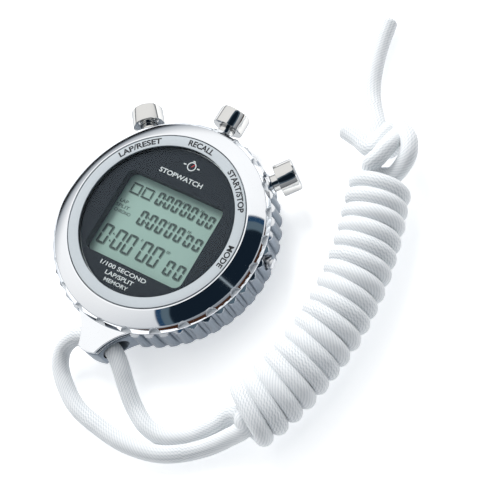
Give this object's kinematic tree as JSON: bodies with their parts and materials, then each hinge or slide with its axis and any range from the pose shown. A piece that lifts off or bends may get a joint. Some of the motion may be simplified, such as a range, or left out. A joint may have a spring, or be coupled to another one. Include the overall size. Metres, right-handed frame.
{
  "type": "digital stopwatch with neck cord",
  "caption": "Round metal digital stopwatch with radial push buttons, knurled case ring, lug and a braided neck cord wound on itself.",
  "frame": {"origin": "middle of the back cover's outer face, on the surface that the watch lies on", "axes": "+Z out of the face, +Y towards twelve o'clock, +X towards three o'clock"},
  "size_m": [0.0939, 0.1409, 0.0179],
  "materials": {
    "polished_chrome": "polished chrome plate",
    "satin_metal": "fine bead-blasted satin",
    "back_steel": "circular brushed",
    "small_steel": "turned steel",
    "turned_brass": "turned brass",
    "black_rubber": "moulded nitrile",
    "clear_lens": "polished clear",
    "silver_label": "satin silver with printed words",
    "black_face": "satin black",
    "lcd_glass": "grey-green reflective LCD",
    "zebra_rubber": "layered elastomer",
    "white_plastic": "moulded ABS",
    "board_green": "solder mask on glass epoxy",
    "black_epoxy": "potting epoxy",
    "white_cord": "round braided polyester"
  },
  "bodies": {
    "watch": {"back_cover": "back_steel", "back_gasket": "black_rubber", "back_screw_1": "small_steel", "back_screw_2": "small_steel", "back_screw_3": "small_steel", "back_screw_4": "small_steel", "battery_cell": "small_steel", "battery_clip": "small_steel", "board_screw_1": "small_steel", "board_screw_2": "small_steel", "board_screw_3": "small_steel", "buzzer_disc": "turned_brass", "circuit_board": "board_green", "controller_chip": "black_epoxy", "cord_knot": "white_cord", "cord_long_tail": "white_cord", "cord_short_tail": "white_cord", "cord_strands": "white_cord", "cord_wrap": "white_cord", "dial_mask": "black_face", "label_ring": "silver_label", "lap_reset_bush": "turned_brass", "lap_reset_contact": "turned_brass", "lap_reset_spring": "small_steel", "lcd_panel": "lcd_glass", "lens": "clear_lens", "lens_gasket": "black_rubber", "lower_case": "satin_metal", "mode_bush": "turned_brass", "mode_contact": "turned_brass", "mode_spring": "small_steel", "module_frame": "white_plastic", "quartz_crystal": "small_steel", "recall_bush": "turned_brass", "recall_contact": "turned_brass", "recall_spring": "small_steel", "start_stop_bush": "turned_brass", "start_stop_contact": "turned_brass", "start_stop_spring": "small_steel", "upper_case": "polished_chrome", "zebra_strip_1": "zebra_rubber", "zebra_strip_2": "zebra_rubber"},
    "start_stop_button": {"start_stop_stem": "polished_chrome", "start_stop_seal": "black_rubber", "start_stop_clip": "small_steel", "start_stop_cap": "polished_chrome"},
    "recall_button": {"recall_stem": "polished_chrome", "recall_seal": "black_rubber", "recall_clip": "small_steel", "recall_cap": "polished_chrome"},
    "lap_reset_button": {"lap_reset_stem": "polished_chrome", "lap_reset_seal": "black_rubber", "lap_reset_clip": "small_steel", "lap_reset_cap": "polished_chrome"},
    "mode_button": {"mode_pin": "small_steel", "mode_seal": "black_rubber", "mode_clip": "small_steel"}
  },
  "joints": [
    {"name": "start_stop_press", "type": "slide", "parent": "watch", "child": "start_stop_button", "axis": [-0.6481, -0.7615, 0], "range_m": [0, 0.0012], "stiffness_N_per_m": 900, "springref_m": -0.0008, "deforming": ["start_stop_spring"]},
    {"name": "recall_press", "type": "slide", "parent": "watch", "child": "recall_button", "axis": [0, -1, 0], "range_m": [0, 0.0012], "stiffness_N_per_m": 900, "springref_m": -0.0008, "deforming": ["recall_spring"]},
    {"name": "lap_reset_press", "type": "slide", "parent": "watch", "child": "lap_reset_button", "axis": [0.6481, -0.7615, 0], "range_m": [0, 0.0012], "stiffness_N_per_m": 900, "springref_m": -0.0008, "deforming": ["lap_reset_spring"]},
    {"name": "mode_press", "type": "slide", "parent": "watch", "child": "mode_button", "axis": [-0.9914, -0.1305, 0], "range_m": [0, 0.0008], "stiffness_N_per_m": 600, "springref_m": -0.0008, "deforming": ["mode_spring"]}
  ]
}
